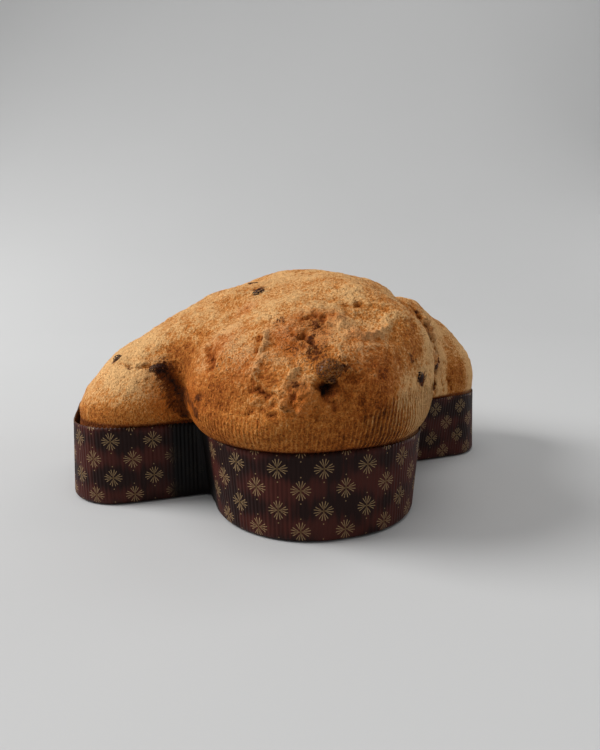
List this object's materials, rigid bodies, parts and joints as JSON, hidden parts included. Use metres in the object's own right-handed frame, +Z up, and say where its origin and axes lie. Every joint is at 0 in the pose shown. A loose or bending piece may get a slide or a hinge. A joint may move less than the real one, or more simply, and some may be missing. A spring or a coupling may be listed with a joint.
{
  "type": "dove-shaped easter cake",
  "caption": "Dove-shaped sweet bread with tail, wings and head lobes, raisins and candied peel in its crust, in a fluted paper case with a printed ornament.",
  "frame": {"origin": "middle of the flat bottom of the paper case, on the surface it stands on", "axes": "+X towards the head (the tail is at -X), the two wings reach along +Y and -Y, +Z up"},
  "size_m": [0.3047, 0.2882, 0.1422],
  "materials": {
    "printed_paper": "fluted brown paper with a satin print of small pale gold starbursts",
    "crust": "matte golden brown crust, darker on its sides and in its hollows",
    "raisin": "dark wrinkled, slightly glossy fruit",
    "candied_peel": "brown, baked, slightly glossy"
  },
  "bodies": {
    "root": {"paper_case": "printed_paper", "bread": "crust", "raisin_tail_top": "raisin", "raisin_tail_side": "raisin", "raisin_crown": "raisin", "peel_wing": "candied_peel", "raisin_wing_front": "raisin", "raisin_head_side": "raisin", "raisin_head_top": "raisin", "raisin_back_high": "raisin", "raisin_back_low": "raisin", "peel_back": "candied_peel", "raisin_tail_back": "raisin"}
  },
  "joints": []
}
